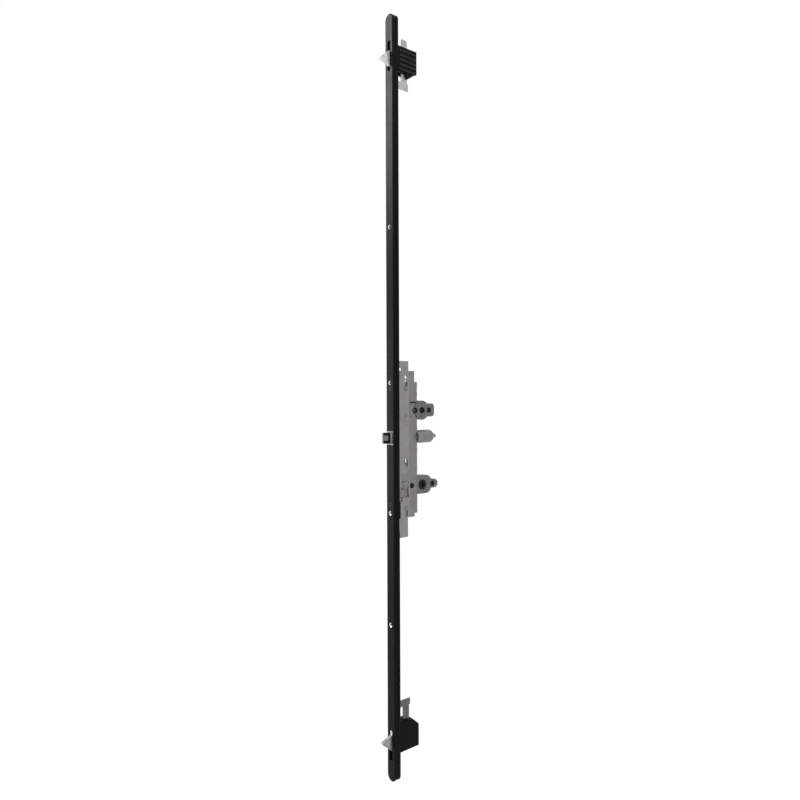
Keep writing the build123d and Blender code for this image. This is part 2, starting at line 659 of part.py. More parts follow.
def handle_arm(side):
    """Half of the arm that carries the handle hub, with the lug of its far bolt hole."""
    body = area(CASE_BACK - BACKSET, HANDLE_BODY_END, -HANDLE_BODY_HALF, HANDLE_BODY_HALF)
    body = fillet(body.vertices().group_by(Axis.X)[-1], HANDLE_BODY_CORNER)
    lug_middle = HANDLE_LUG_END - HANDLE_LUG_HALF
    lug = area(0, lug_middle, -HANDLE_LUG_HALF, HANDLE_LUG_HALF) + disc(lug_middle, 0, HANDLE_LUG_HALF)
    outer = Pos(BACKSET, 0) * (body + lug)
    neck_half = HANDLE_BODY_HALF - HANDLE_NECK_INSET
    neck = area(NECK_FRONT - HANDLE_NECK_REACH, CASE_BACK + JOIN, -neck_half, neck_half)
    rim = outer - area(0, BACKSET, 0, HANDLE_BODY_HALF)
    rim -= disc(BACKSET, 0, CAM_R + CAM_TIP_R + RUN_GAP)
    bores = [disc(BACKSET, 0, HANDLE_CORE_R + BEARING_PLAY + BUSH_WALL)]
    for way in (-1, 1):
        bores.append(disc(BACKSET + way * HANDLE_BOLT_OFFSET, 0, BOLT_HOLE_R))
    for spot in arm_screw_spots()[2:] + arm_rivet_spots()[2:]:
        bores.append(disc(*spot, ROD_PIN_R))
    return arm_half(side, outer, neck, rim, bores)


def arm_screw_spots():
    """Places of the rivets that close the two halves of each arm on each other."""
    middle = (TIP_R + DEADBOLT_DISC_R) / 2
    turn = radians(CLOSING_ANGLE)
    spots = []
    for way in (-1, 1):
        spots.append((BACKSET + middle * sin(turn), DEADBOLT_Z + way * middle * cos(turn)))
    for way in (-1, 1):
        spots.append((BACKSET + HANDLE_CLOSING_OFFSET, way * HANDLE_CLOSING_OFFSET))
    return spots


def arm_closing_rivets():
    """Through rivets that close the halves of both arms."""
    rivets = []
    for spot in arm_screw_spots():
        near = rivet(*spot, ROD_PIN_R, -ARM_OUT, ARM_OUT, ARM_OUT, ARM_RIVET_HEAD_R)
        rivets.append(near + rivet(*spot, ROD_PIN_R, -ARM_OUT, 0, -ARM_OUT, ARM_RIVET_HEAD_R))
    return Compound(children=rivets)


def deadbolt_hub():
    """Pinion on a hollow core that a deadbolt's tailpiece turns."""
    proud = ARM_OUT + HUB_PROUD
    hub = pinion(BACKSET, DEADBOLT_Z, -HUB_HALF, HUB_HALF)
    hub += across(disc(BACKSET, DEADBOLT_Z, DEADBOLT_CORE_R), -proud, proud)
    half_span = TAILPIECE_SPAN / 2
    half_slot = TAILPIECE_SLOT / 2
    hole = Circle(TAILPIECE_R)
    hole += area(-half_span, half_span, -half_slot, half_slot)
    hole += area(-half_slot, half_slot, -half_span, half_span)
    return hub - across(Pos(BACKSET, DEADBOLT_Z) * hole, -proud, proud)


def drive_yoke():
    """Plate with a rack for the deadbolt hub, which passes under the front bolt hole."""
    half = YOKE_THICKNESS / 2
    pitch_y = BACKSET - PITCH_R
    root_y = pitch_y - DEDENDUM
    front = GUIDE_Y - STUD_R - JOIN
    bar_top = DEADBOLT_Z + TRAVEL + RACK_SPARE
    plate = area(front, root_y, YOKE_TOP - YOKE_ARM, YOKE_TOP)
    plate += area(root_y - RACK_BAR, root_y, YOKE_TOP - YOKE_ARM, bar_top)
    for tooth in rack_teeth(pitch_y, DEADBOLT_Z, YOKE_TOP - YOKE_ARM, bar_top, 1):
        plate += tooth
    plate -= disc(GUIDE_Y, YOKE_Z, STUD_PIN_R)
    return across(plate, -half, half)


def yoke_stud():
    """Spacer between the yoke and the upper slide, through the case plate's window."""
    ring = disc(GUIDE_Y, YOKE_Z, STUD_R) - disc(GUIDE_Y, YOKE_Z, STUD_PIN_R)
    return across(ring, YOKE_THICKNESS / 2, SLIDE_IN)


def yoke_rivet():
    """Rivet through the upper slide, the stud and the yoke."""
    inner = YOKE_THICKNESS / 2
    near = rivet(GUIDE_Y, YOKE_Z, STUD_PIN_R, -inner, SLIDE_OUT, SLIDE_OUT, YOKE_RIVET_HEAD_R)
    return near + rivet(GUIDE_Y, YOKE_Z, STUD_PIN_R, -inner, 0, -inner, YOKE_RIVET_HEAD_R)


def handle_hub():
    """Follower that the handle's spindle turns, with the cam that pushes the lever."""
    proud = ARM_OUT + HUB_PROUD
    cam = Pos(BACKSET, 0) * Circle(HANDLE_FLANGE_R)
    tip = (CAM_Y, CAM_Z)
    root = (BACKSET, 0)
    cam += link(root, tip, CAM_ROOT_R, CAM_TIP_R)
    hub = across(cam, -HUB_HALF, HUB_HALF)
    hub += across(disc(BACKSET, 0, HANDLE_CORE_R), -proud, proud)
    square = Pos(BACKSET, 0) * Rot(0, 0, 45) * Rectangle(SPINDLE_SQUARE, SPINDLE_SQUARE)
    return hub - across(square, -proud, proud)


def handle_bushes():
    """Plastic rings that the handle hub turns in, one in each half of its arm."""
    bushes = []
    inner = HANDLE_CORE_R + BEARING_PLAY
    ring = disc(BACKSET, 0, inner + BUSH_WALL) - disc(BACKSET, 0, inner)
    for low, high in ((ARM_IN, ARM_OUT), (-ARM_OUT, -ARM_IN)):
        bushes.append(across(ring, low, high))
    return Compound(children=bushes)


def link(start, end, start_r, end_r):
    """Tapered link with round ends between two points."""
    span = sqrt((end[0] - start[0]) ** 2 + (end[1] - start[1]) ** 2)
    along = ((end[0] - start[0]) / span, (end[1] - start[1]) / span)
    lean = (start_r - end_r) / span
    side = sqrt(1 - lean ** 2)
    points = []
    for centre, radius, way in ((start, start_r, 1), (end, end_r, 1), (end, end_r, -1), (start, start_r, -1)):
        across_y = along[0] * lean - way * along[1] * side
        across_z = along[1] * lean + way * along[0] * side
        points.append((centre[0] + radius * across_y, centre[1] + radius * across_z))
    return outline(*points) + disc(*start, start_r) + disc(*end, end_r)


def latch_lever():
    """Lever that the handle hub's cam pushes, and whose tip draws the latch back."""
    half = LEVER_THICKNESS / 2
    pivot = (LEVER_Y, LEVER_Z)
    tip_z = LEVER_Z + sqrt(LEVER_REACH ** 2 - (LATCH_TRAVEL / 2) ** 2)
    profile = link(pivot, (LEVER_TIP_Y, tip_z), LEVER_HUB_R, LEVER_ARM / 2)
    profile += disc(LEVER_TIP_Y, tip_z, LEVER_TIP_R)
    profile += link(pivot, (FOOT_Y, FOOT_Z), LEVER_HUB_R, LEVER_FOOT_R)
    profile -= disc(LEVER_Y, LEVER_Z, GUIDE_R + BEARING_PLAY)
    return across(profile, -half, half)


def lever_pin():
    """Pin that carries the lever in the case plates and guides the upper slide."""
    return across(disc(LEVER_Y, LEVER_Z, GUIDE_R), -CASE_OUT, SLIDE_OUT)


def latch_bolt():
    """Spring latch: a head with one bevelled side, and a shank that the lever's tip enters."""
    half = LATCH_WIDTH / 2
    high = LATCH_HEIGHT / 2
    tip = -LATCH_TRAVEL
    head = outline(
        (-half, LATCH_HEAD_REST), (-half, tip), (-half + LATCH_TIP_FLAT, tip),
        (half, LATCH_BEVEL_END), (half, LATCH_HEAD_REST)
    )
    head = extrude(Plane.XY.offset(LATCH_Z - high) * head, amount=LATCH_HEIGHT)
    head = chamfer(head.edges().filter_by(Axis.X).group_by(Axis.Y)[0], LATCH_CHAMFER)
    shank_high = LATCH_SHANK_HEIGHT / 2
    shank = area(-SHANK_HALF, SHANK_HALF, LATCH_Z - shank_high, LATCH_Z + shank_high)
    bolt = head + inward(shank, LATCH_HEAD_REST, SHANK_BACK)
    slit = LEVER_THICKNESS / 2 + RUN_GAP
    reach = LEVER_TIP_R + LEVER_TIP_PLAY
    cut = area(-slit, slit, LATCH_Z - shank_high, LATCH_Z + reach)
    return bolt - inward(cut, LEVER_TIP_Y - reach, LEVER_TIP_Y + reach)


def latch_stem():
    """Guide rod screwed into the shank, whose end shows through the tube's nose."""
    stem = inward(disc(0, LATCH_Z, STEM_R), SHANK_BACK, STEM_END)
    stem = fillet(stem.edges().filter_by(GeomType.CIRCLE).sort_by(Axis.Y)[-1], STEM_ROUND)
    return stem + inward(disc(0, LATCH_Z, STEM_R + FLANGE_STEP), CASE_BACK + FLANGE_START, FLANGE_BACK)


def latch_lip():
    """Front outline of the latch guide's lip, which is let into the faceplate."""
    half_wide = LATCH_WIDTH / 2 + RUN_GAP + LATCH_GUIDE_WALL + LATCH_LIP_WIDTH
    half_high = LATCH_HEIGHT / 2 + RUN_GAP + LATCH_GUIDE_WALL + LATCH_LIP_WIDTH
    lip = area(-half_wide, half_wide, LATCH_Z - half_high, LATCH_Z + half_high)
    return fillet(lip.vertices(), LATCH_LIP_CORNER)


def latch_guide():
    """Bright collar that lines the latch's opening in the faceplate."""
    half_wide = LATCH_WIDTH / 2 + RUN_GAP
    half_high = LATCH_HEIGHT / 2 + RUN_GAP
    wall = LATCH_GUIDE_WALL
    sleeve = area(-half_wide - wall, half_wide + wall, LATCH_Z - half_high - wall, LATCH_Z + half_high + wall)
    opening = area(-half_wide, half_wide, LATCH_Z - half_high, LATCH_Z + half_high)
    collar = inward(sleeve, 0, LATCH_GUIDE_DEPTH) + inward(latch_lip(), 0, LATCH_GUIDE_LIP)
    return collar - inward(opening, 0, LATCH_GUIDE_DEPTH)


def latch_collar():
    """Moulded block between the case plates that holds the latch tube's front."""
    high = TUBE_R - TUBE_WALL
    block = area(-CASE_IN, CASE_IN, LATCH_Z - high, LATCH_Z + high)
    collar = inward(block, COLLAR_FRONT, CASE_BACK)
    return collar - inward(disc(0, LATCH_Z, STEM_R + RUN_GAP), COLLAR_FRONT, CASE_BACK)


def latch_tube():
    """Round tube behind the case that holds the latch's spring, with a rounded nose."""
    tube = inward(disc(0, LATCH_Z, TUBE_R), CASE_BACK, TUBE_END)
    tube = fillet(tube.edges().filter_by(GeomType.CIRCLE).sort_by(Axis.Y)[-1], TUBE_NOSE_R)
    inner = inward(disc(0, LATCH_Z, TUBE_R - TUBE_WALL), CASE_BACK, TUBE_END - TUBE_NOSE_R / 2)
    inner = fillet(inner.edges().filter_by(GeomType.CIRCLE).sort_by(Axis.Y)[-1], TUBE_NOSE_R - TUBE_WALL)
    return tube - inner - inward(disc(0, LATCH_Z, STEM_R + RUN_GAP), CASE_BACK, TUBE_END)


def latch_spring():
    """Compression spring on the stem, between its flange and the tube's nose."""
    start = FLANGE_BACK + SPRING_WIRE_R
    end = TUBE_END - TUBE_NOSE_R / 2 - SPRING_WIRE_R - SPRING_SEAT
    radius = STEM_R + SPRING_WIRE_R + SPRING_PLAY
    pitch = (end - start) / SPRING_COILS
    coil = Helix(pitch=pitch, height=end - start, radius=radius)
    tube = sweep(Plane(coil @ 0, z_dir=coil % 0) * Circle(SPRING_WIRE_R), path=coil, is_frenet=True)
    return Pos(0, start, LATCH_Z) * Rot(-90, 0, 0) * tube


def tongue_blade():
    """Side outline of a tongue's wedge round its pivot, without hub and fork."""
    face = TONGUE_PIVOT_Y
    return outline(
        (-TONGUE_REACH - face, 0), (-face, TONGUE_HIGH), (-face / 2, TONGUE_HIGH * TONGUE_SHOULDER),
        (TONGUE_ROOT, TONGUE_HUB_R), (TONGUE_ROOT, -TONGUE_HUB_R),
        (-face / 2, TONGUE_LOW), (-face, TONGUE_LOW)
    )


def tongue():
    """Bright wedge that swings out of the faceplate, with a forked tail for the strip's pin."""
    half = TONGUE_THICKNESS / 2
    fork_turn = Rot(0, 0, degrees(asin(TRAVEL / 2 / FORK_R)))
    slot_half = TONGUE_PIN_R + FORK_PLAY
    arm_half = slot_half + FORK_WALL
    profile = tongue_blade() + disc(0, 0, TONGUE_HUB_R) + fork_turn * area(0, FORK_TIP_R, -arm_half, arm_half)
    profile -= fork_turn * area(FORK_Y - TONGUE_PIN_R - RUN_GAP, FORK_TIP_R, -slot_half, slot_half)
    profile -= disc(0, 0, AXLE_R + BEARING_PLAY)
    wedge = across(Pos(TONGUE_PIVOT_Y, 0) * profile, -half, half)
    nose = wedge.edges().filter_by(Axis.X).sort_by(Axis.Y)[0]
    return fillet(nose, TONGUE_NOSE_ROUND)


def tongue_strip(hook, far_end):
    """Strip through the housing: a hook for the rod at one end, a pin hole in the middle."""
    lug = TONGUE_PIN_R + STRIP_PIN_WALL
    strip = area(STRIP_LUG_FRONT, STRIP_BACK, TRAVEL / 2 - lug, TRAVEL / 2 + lug)
    strip += area(STRIP_FRONT, STRIP_BACK, NOSE_LOW, TRAVEL / 2 + lug)
    strip += area(STRIP_FRONT, STRIP_BACK - STRIP_STEP, hook[0], far_end)
    strip += area(ROD_FRONT, STRIP_BACK, *hook)
    strip -= disc(TONGUE_PIVOT_Y + FORK_Y, TRAVEL / 2, TONGUE_PIN_R)
    strip -= disc(ROD_PIN_Y, sum(hook) / 2, ROD_PIN_R)
    groove_y = (STRIP_FRONT + STRIP_BACK - STRIP_STEP) / 2
    groove = slot(groove_y, hook[1] + STRIP_STEP, NOSE_LOW - STRIP_STEP, STRIP_GROOVE_R)
    return across(strip, STRIP_IN, STRIP_OUT) - across(groove, STRIP_OUT - STRIP_GROOVE_DEPTH, STRIP_OUT)


def strip_pin():
    """Pin of a strip that the fork of its tongue runs on."""
    half = TONGUE_THICKNESS / 2
    return across(disc(TONGUE_PIVOT_Y + FORK_Y, TRAVEL / 2, TONGUE_PIN_R), -half, STRIP_OUT)


def tongue_pivot():
    """Pin across the housing that the tongue swings on."""
    half = HOUSING_HALF - TUBE_WALL
    return across(disc(TONGUE_PIVOT_Y, 0, AXLE_R), -half, half)


def housing_half(side, body, hook, far_end):
    """Moulded half of a tongue housing, whose nose sits in the channel."""
    nose = area(FRONT_WALL, CHANNEL_DEPTH, NOSE_LOW, NOSE_HIGH)
    half = across(body, 0, HOUSING_HALF)
    half = chamfer(half.faces().sort_by(Axis.X)[-1].outer_wire().edges(), HOUSING_CHAMFER)
    half += across(nose, 0, CHANNEL_IN)
    cavity = disc(TONGUE_PIVOT_Y, 0, SWEEP_R)
    top = TONGUE_PIVOT_Y + TONGUE_REACH + END_PLAY
    cavity += area(FRONT_WALL, CHANNEL_DEPTH, TONGUE_LOW - SWEEP_SPARE, top)
    cavity += Pos(TONGUE_PIVOT_Y, 0) * Rot(0, 0, -TONGUE_SWING) * offset(tongue_blade(), 2 * RUN_GAP)
    half -= across(cavity, 0, HOUSING_SPLIT_WALL)
    channel = area(STRIP_LUG_FRONT - RUN_GAP, STRIP_BACK + RUN_GAP, hook[1], far_end + RUN_GAP)
    if side > 0:
        half -= across(channel, STRIP_IN - RUN_GAP, STRIP_OUT + RUN_GAP)
    half -= across(disc(TONGUE_PIVOT_Y, 0, AXLE_R), 0, HOUSING_HALF - TUBE_WALL)
    for height in (TONGUE_HIGH, TONGUE_LOW):
        spot = (HOUSING_BACK - HOUSING_SCREW_INSET, height)
        half -= across(disc(*spot, HOUSING_SCREW_R), 0, HOUSING_HALF - TUBE_WALL)
        if side < 0:
            half -= across(disc(*spot, HOUSING_SCREW_R), 0, HOUSING_HALF)
            half -= across(disc(*spot, HOUSING_SCREW_HEAD_R), HOUSING_HALF - TUBE_WALL, HOUSING_HALF)
    return half if side > 0 else mirror(half, Plane.YZ)


def top_housing_body():
    """Side outline of the top housing, with its pointed leg."""
    return outline(
        (CHANNEL_DEPTH, TOP_HOUSING_LOW), *TOP_HOUSING_LEG, (HOUSING_BACK, TOP_HOUSING_CORNER),
        (HOUSING_BACK, TOP_HOUSING_TOP), (CHANNEL_DEPTH, TOP_HOUSING_TOP)
    )


def bottom_housing_body():
    """Side outline of the bottom housing before it is turned over, with its sloping shoulder."""
    return outline(
        (CHANNEL_DEPTH, BOTTOM_HOUSING_LOW), BOTTOM_HOUSING_SLOPE, (HOUSING_BACK, BOTTOM_HOUSING_CORNER),
        (HOUSING_BACK, BOTTOM_HOUSING_TOP), (CHANNEL_DEPTH, BOTTOM_HOUSING_TOP)
    )


def ribbed(half):
    """Housing half with level ribs across its outer side."""
    for rib in range(RIB_COUNT):
        low = (rib - RIB_LOWEST) * RIB_PITCH - RIB_HEIGHT / 2
        bar_area = area(CHANNEL_DEPTH + RIB_INSET[0], HOUSING_BACK - RIB_INSET[1], low, low + RIB_HEIGHT)
        half += across(bar_area, HOUSING_HALF - JOIN, HOUSING_HALF + RIB_PROUD)
    return half


def housing_screws():
    """Screws from the far side that close one housing."""
    screws = []
    for height in (TONGUE_HIGH, TONGUE_LOW):
        spot = (HOUSING_BACK - HOUSING_SCREW_INSET, height)
        start = TUBE_WALL - HOUSING_HALF
        screw = across(disc(*spot, HOUSING_SCREW_R), start, HOUSING_HALF - 2 * TUBE_WALL)
        screw += across(disc(*spot, HOUSING_SCREW_HEAD_R - HOLE_PLAY), RUN_GAP - HOUSING_HALF, start)
        screws.append(screw)
    return Compound(children=screws)


def placed(solid, pivot_z, way):
    """A module's piece at its height, turned over for the bottom one."""
    if way < 0:
        solid = mirror(solid, Plane.XY)
    return Pos(0, 0, pivot_z) * solid


def tongue_module(name, pivot_z, way, body, hook, far_end, ribs):
    """Every piece of a tongue module under its node name."""
    right = housing_half(1, body, hook, far_end)
    if ribs:
        right = ribbed(right)
    pieces = {
        "housing_right": right,
        "housing_left": housing_half(-1, body, hook, far_end),
        "housing_screws": housing_screws(),
        "tongue": tongue(),
        "tongue_pivot": tongue_pivot(),
        "strip": tongue_strip(hook, far_end),
        "strip_pin": strip_pin(),
    }
    return {f"{name}_{piece}": placed(solid, pivot_z, way) for piece, solid in pieces.items()}


def lock():
    """Every piece of the lock under its node name."""
    upper_hook = (UPPER_HOOK_Z, UPPER_HOOK_TOP)
    lower_hook = (LOWER_HOOK_BOTTOM, LOWER_HOOK_Z)
    upper_strip = (TOP_TONGUE_Z + TOP_STRIP_HOOK[0], UPPER_ROD_TOP)
    lower_strip = (LOWER_ROD_BOTTOM, BOTTOM_TONGUE_Z - BOTTOM_STRIP_HOOK[0])
    pieces = {
        "faceplate_channel": faceplate_channel(),
        "case_plate_right": case_plate(1),
        "case_plate_left": case_plate(-1),
        "case_posts": case_posts(),
        "upper_case_block": case_block(
            CASE_EAR_BOTTOM, CASE_EAR_TOP, CASE_SCREW_HEIGHTS[0], DOOR_SCREW_HEIGHTS[1]
        ),
        "lower_case_block": case_block(
            LOWER_EAR_BOTTOM, LOWER_EAR_TOP, CASE_SCREW_HEIGHTS[1], DOOR_SCREW_HEIGHTS[2]
        ),
        "case_screws": case_screws(),
        "slide_guides": slide_guides(),
        "reversing_pinion": reversing_pinion(),
        "upper_slide": upper_slide(),
        "lower_slide": lower_slide(),
        "drive_yoke": drive_yoke(),
        "yoke_stud": yoke_stud(),
        "yoke_rivet": yoke_rivet(),
        "upper_rod": connecting_rod(*upper_hook, *upper_strip),
        "lower_rod": connecting_rod(*lower_hook, *lower_strip),
        "upper_rod_pins": rod_pins(sum(upper_hook) / 2, sum(upper_strip) / 2),
        "lower_rod_pins": rod_pins(sum(lower_hook) / 2, sum(lower_strip) / 2),
        "rod_guides": rod_guides(),
        "deadbolt_arm_right": deadbolt_arm(1),
        "deadbolt_arm_left": deadbolt_arm(-1),
        "deadbolt_hub": deadbolt_hub(),
        "handle_arm_right": handle_arm(1),
        "handle_arm_left": handle_arm(-1),
        "handle_bushes": handle_bushes(),
        "handle_hub": handle_hub(),
        "arm_rivets": arm_rivets(),
        "arm_closing_rivets": arm_closing_rivets(),
        "latch_lever": latch_lever(),
        "lever_pin": lever_pin(),
        "latch_bolt": latch_bolt(),
        "latch_stem": latch_stem(),
        "latch_guide": latch_guide(),
        "latch_collar": latch_collar(),
        "latch_tube": latch_tube(),
        "latch_spring": latch_spring(),
    }
    top = (TOP_TONGUE_Z, 1, top_housing_body(), TOP_STRIP_HOOK, TOP_STRIP_END, True)
    bottom = (BOTTOM_TONGUE_Z, -1, bottom_housing_body(), BOTTOM_STRIP_HOOK, BOTTOM_STRIP_END, False)
    pieces |= tongue_module("top", *top)
    pieces |= tongue_module("bottom", *bottom)
    return pieces


os.makedirs("parts", exist_ok=True)
for node, solid in lock().items():
    export_step(solid, f"parts/{node}.step")
print("slide travel", round(TRAVEL, 3), "mm; lever turn", round(LEVER_TURN, 3), "degrees")
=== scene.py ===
"""Looks for a multipoint door lock: black channel, steel latch case, cast hub arms and swinging tongues."""
import json
import math

import bmesh
import bpy
from mathutils import Matrix, Vector


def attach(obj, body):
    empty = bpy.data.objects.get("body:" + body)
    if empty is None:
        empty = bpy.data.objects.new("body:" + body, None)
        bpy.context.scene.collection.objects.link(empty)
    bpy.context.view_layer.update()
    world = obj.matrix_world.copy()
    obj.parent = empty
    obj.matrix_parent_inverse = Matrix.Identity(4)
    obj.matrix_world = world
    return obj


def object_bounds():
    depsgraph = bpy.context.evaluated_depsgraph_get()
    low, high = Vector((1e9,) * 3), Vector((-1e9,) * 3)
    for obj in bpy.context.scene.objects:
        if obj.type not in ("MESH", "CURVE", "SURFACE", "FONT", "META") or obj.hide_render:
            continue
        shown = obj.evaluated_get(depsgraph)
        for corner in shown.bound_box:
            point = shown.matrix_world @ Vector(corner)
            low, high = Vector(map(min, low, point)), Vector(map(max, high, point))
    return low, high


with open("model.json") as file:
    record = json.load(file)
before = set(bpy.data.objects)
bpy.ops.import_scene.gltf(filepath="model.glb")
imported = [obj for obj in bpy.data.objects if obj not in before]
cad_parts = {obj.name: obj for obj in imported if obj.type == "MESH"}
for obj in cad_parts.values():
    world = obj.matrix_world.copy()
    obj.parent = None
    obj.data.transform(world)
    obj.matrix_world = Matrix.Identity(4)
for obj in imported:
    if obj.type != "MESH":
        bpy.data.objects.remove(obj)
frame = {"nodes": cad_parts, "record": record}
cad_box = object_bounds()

MM = 0.001


# Shader node groups

EDGE_BEND = (0.98, 0.80)
EDGE_BREAKUP = (0.40, 0.62)


def new_group(name, inputs, outputs):
    """Shader node group with named sockets, its input node and its output node."""
    tree = bpy.data.node_groups.new(name, "ShaderNodeTree")
    for label, kind, value in inputs:
        tree.interface.new_socket(name=label, in_out="INPUT", socket_type=kind).default_value = value
    for label in outputs:
        tree.interface.new_socket(name=label, in_out="OUTPUT", socket_type="NodeSocketFloat")
    return tree, tree.nodes.new("NodeGroupInput"), tree.nodes.new("NodeGroupOutput")


def add_node(tree, kind, inputs=(), **settings):
    """New node with its settings, and each input linked to a socket or set to a value."""
    made = tree.nodes.new(kind)
    for label, value in settings.items():
        setattr(made, label, value)
    for label, value in inputs:
        if isinstance(value, bpy.types.NodeSocket):
            tree.links.new(value, made.inputs[label])
        else:
            made.inputs[label].default_value = value
    return made


def ranged(tree, value, low, high, to_low=0.0, to_high=1.0):
    """Value moved from one range to another, and kept inside it."""
    return add_node(tree, "ShaderNodeMapRange", [
        ("Value", value), ("From Min", low), ("From Max", high), ("To Min", to_low), ("To Max", to_high)
    ]).outputs[0]


def combined(tree, operation, first, second):
    """Two values put together by a maths node."""
    return add_node(tree, "ShaderNodeMath", [(0, first), (1, second)], operation=operation).outputs[0]


def edge_wear_group():
    """Mask of the outer edges, broken up by noise."""
    tree, given, out = new_group("worn_edges", [
        ("Radius", "NodeSocketFloat", 0.0005), ("Breakup", "NodeSocketFloat", 700.0)
    ], ["Mask"])
    rounded = add_node(tree, "ShaderNodeBevel", [("Radius", given.outputs["Radius"])], samples=6)
    geometry = add_node(tree, "ShaderNodeNewGeometry")
    bend = add_node(tree, "ShaderNodeVectorMath", [
        (0, rounded.outputs[0]), (1, geometry.outputs["True Normal"])
    ], operation="DOT_PRODUCT")
    place = add_node(tree, "ShaderNodeTexCoord")
    noise = add_node(tree, "ShaderNodeTexNoise", [
        ("Vector", place.outputs["Object"]), ("Scale", given.outputs["Breakup"]), ("Detail", 4.0)
    ])
    edge = ranged(tree, bend.outputs["Value"], *EDGE_BEND)
    breakup = ranged(tree, noise.outputs["Fac"], *EDGE_BREAKUP)
    tree.links.new(combined(tree, "MULTIPLY", edge, breakup), out.inputs["Mask"])
    return tree


def grain_group():
    """Fine grain, stretched along an axis, and cloudy variation."""
    tree, given, out = new_group("surface_grain", [
        ("Stretch", "NodeSocketVector", (1.0, 1.0, 1.0)), ("Fine Scale", "NodeSocketFloat", 2000.0),
        ("Cloud Scale", "NodeSocketFloat", 60.0)
    ], ["Fine", "Cloud"])
    place = add_node(tree, "ShaderNodeTexCoord")
    stretched = add_node(tree, "ShaderNodeMapping", [
        ("Vector", place.outputs["Object"]), ("Scale", given.outputs["Stretch"])
    ])
    fine = add_node(tree, "ShaderNodeTexNoise", [
        ("Vector", stretched.outputs[0]), ("Scale", given.outputs["Fine Scale"]), ("Detail", 3.0),
        ("Roughness", 0.6)
    ])
    cloud = add_node(tree, "ShaderNodeTexNoise", [
        ("Vector", place.outputs["Object"]), ("Scale", given.outputs["Cloud Scale"]), ("Detail", 5.0),
        ("Roughness", 0.55)
    ])
    tree.links.new(fine.outputs["Fac"], out.inputs["Fine"])
    tree.links.new(cloud.outputs["Fac"], out.inputs["Cloud"])
    return tree


WORN_EDGES = edge_wear_group()
SURFACE_GRAIN = grain_group()


# Materials

NOISE_RANGE = (0.35, 0.65)
CLOUD_SHARE = 0.45
# Painted highlight on the crown of each rib: the range of cloud noise it uses and the share it gives.
CROWN_HIGHLIGHT_RANGE = (0.25, 0.55)
CROWN_HIGHLIGHT_SHARE = (0.4, 1.0)


def grey(level, tint=0.0):
    """Neutral colour of a level, a little blue with a tint above 0 and warm below it."""
    return (level * (1 - tint), level, level * (1 + tint), 1)


def blend(tree, factor, first, second):
    """Two colours mixed by a factor."""
    return add_node(tree, "ShaderNodeMix", [
        ("Factor", factor), (6, first), (7, second)
    ], data_type="RGBA").outputs[2]


def surface(name, colours, metallic, roughness, stretch, fine, cloud, relief, wear, specular=0.5,
            crown_highlight=None):
    """Material with cloudy colour, grain in its roughness and relief, worn edges and a painted highlight on
    the crown of each rib.
    """
    made = bpy.data.materials.new(name)
    made.use_nodes = True
    tree = made.node_tree
    tree.nodes.clear()
    grain = add_node(tree, "ShaderNodeGroup", node_tree=SURFACE_GRAIN)
    grain.inputs["Stretch"].default_value = stretch
    grain.inputs["Fine Scale"].default_value = fine
    grain.inputs["Cloud Scale"].default_value = cloud
    edges = add_node(tree, "ShaderNodeGroup", node_tree=WORN_EDGES)
    base = blend(tree, ranged(tree, grain.outputs["Cloud"], *NOISE_RANGE), colours[0], colours[1])
    wear_and_highlight = combined(tree, "MULTIPLY", edges.outputs["Mask"], wear)
    # Painted highlight on the crown of each rib, rising with height along X and broken up by the cloud
    # noise.
    if crown_highlight:
        start, end, most = crown_highlight
        place = add_node(tree, "ShaderNodeTexCoord")
        axes = add_node(tree, "ShaderNodeSeparateXYZ", [(0, place.outputs["Object"])])
        height = ranged(tree, axes.outputs[0], start * MM, end * MM, 0.0, most)
        highlight_breakup = ranged(tree, grain.outputs["Cloud"], *CROWN_HIGHLIGHT_RANGE, *CROWN_HIGHLIGHT_SHARE)
        wear_and_highlight = combined(tree, "MAXIMUM", wear_and_highlight, combined(tree, "MULTIPLY", height, highlight_breakup))
    mixed = add_node(tree, "ShaderNodeMix", [
        ("Factor", CLOUD_SHARE), (2, grain.outputs["Fine"]), (3, grain.outputs["Cloud"])
    ], data_type="FLOAT")
    bump = add_node(tree, "ShaderNodeBump", [
        ("Height", grain.outputs["Fine"]), ("Strength", relief[0]), ("Distance", relief[1] * MM)
    ])
    shader = add_node(tree, "ShaderNodeBsdfPrincipled", [
        ("Base Color", blend(tree, wear_and_highlight, base, colours[2])), ("Metallic", metallic),
        ("Roughness", ranged(tree, mixed.outputs[0], *NOISE_RANGE, *roughness)),
        ("Normal", bump.outputs[0]), ("Specular IOR Level", specular)
    ])
    add_node(tree, "ShaderNodeOutputMaterial", [("Surface", shader.outputs[0])])
    return made


# How a finish's grain is stretched
ALONG = (1.0, 1.0, 0.03)
INTO = (1.0, 0.03, 1.0)
UPRIGHT = (1.0, 1.0, 0.05)
EVEN = (1.0, 1.0, 1.0)
